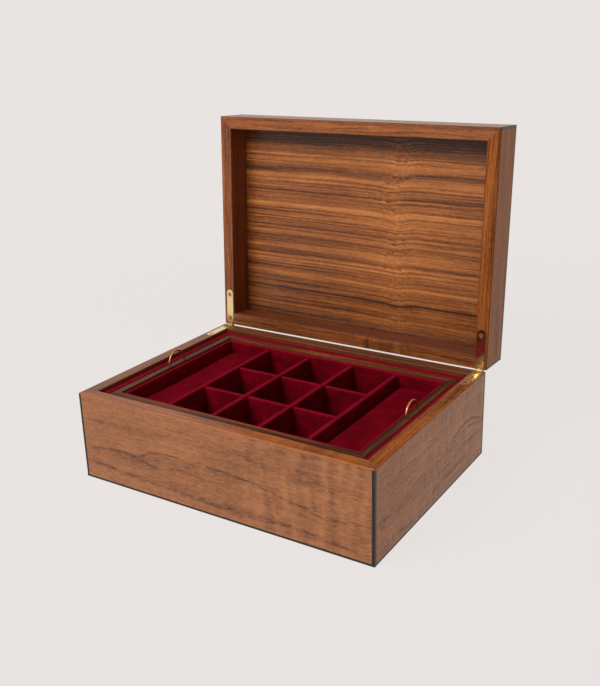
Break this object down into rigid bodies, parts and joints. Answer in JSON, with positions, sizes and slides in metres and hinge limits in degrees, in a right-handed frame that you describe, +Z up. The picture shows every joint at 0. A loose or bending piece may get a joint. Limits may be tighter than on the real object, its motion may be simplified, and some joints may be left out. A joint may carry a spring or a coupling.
{
  "type": "jewellery box",
  "caption": "Walnut jewellery box with black edging, a lid standing open on brass stop hinges, and a lift-out tray lined in burgundy velvet with square and long compartments.",
  "frame": {"origin": "middle of the base's footprint, on the underside it stands on", "axes": "+X to the box's right, +Y to the hinges at the back, +Z up"},
  "size_m": [0.33, 0.297, 0.3339],
  "materials": {
    "walnut": "straight-grained walnut veneer, satin polish",
    "figured_walnut": "striped walnut veneer, satin polish",
    "tray_walnut": "walnut, thin oil finish",
    "plain_wood": "plain walnut board",
    "black_edging": "dyed black wood edging, satin",
    "velvet": "burgundy velvet, short pile",
    "brass": "polished brass"
  },
  "bodies": {
    "base": {"base_wall_front": "walnut", "base_wall_back": "walnut", "base_wall_left": "walnut", "base_wall_right": "walnut", "base_bottom_board": "plain_wood", "base_edging_bottom": "black_edging", "base_edging_front_left": "black_edging", "base_edging_front_right": "black_edging", "base_edging_back_left": "black_edging", "base_edging_back_right": "black_edging", "liner_back": "velvet", "liner_front": "velvet", "liner_left": "velvet", "liner_right": "velvet", "well_floor_pad": "velvet", "tray_ledge_left": "velvet", "tray_ledge_right": "velvet", "hinge_left_base_leaf": "brass", "hinge_left_pin": "brass", "hinge_left_base_screw_back": "brass", "hinge_left_base_screw_front": "brass", "hinge_right_base_leaf": "brass", "hinge_right_pin": "brass", "hinge_right_base_screw_back": "brass", "hinge_right_base_screw_front": "brass"},
    "lid": {"lid_wall_front": "walnut", "lid_wall_back": "walnut", "lid_wall_left": "walnut", "lid_wall_right": "walnut", "lid_top_board": "walnut", "lid_inner_panel": "figured_walnut", "lid_edging_top": "black_edging", "lid_edging_front_left": "black_edging", "lid_edging_front_right": "black_edging", "lid_edging_back_left": "black_edging", "lid_edging_back_right": "black_edging", "hinge_left_lid_leaf": "brass", "hinge_left_lid_screw_back": "brass", "hinge_left_lid_screw_front": "brass", "hinge_right_lid_leaf": "brass", "hinge_right_lid_screw_back": "brass", "hinge_right_lid_screw_front": "brass"},
    "tray": {"tray_rail_front": "tray_walnut", "tray_rail_back": "tray_walnut", "tray_rail_left": "tray_walnut", "tray_rail_right": "tray_walnut", "tray_bottom_board": "plain_wood", "tray_lining": "velvet", "tray_floor_pad": "velvet", "divider_long_1": "velvet", "divider_long_2": "velvet", "divider_long_3": "velvet", "divider_long_4": "velvet", "divider_cross_front": "velvet", "divider_cross_back": "velvet", "side_floor_left": "velvet", "side_floor_right": "velvet", "tray_loop_left": "brass", "tray_loop_right": "brass"}
  },
  "joints": [
    {"name": "lid_hinge", "type": "hinge", "parent": "base", "child": "lid", "pos_m": [0, 0.12205, 0.0912], "axis": [1, 0, 0], "range_deg": [0, 92.8]},
    {"name": "tray_lift", "type": "slide", "parent": "base", "child": "tray", "axis": [0, 0, 1], "range_m": [0, 0.018]}
  ]
}
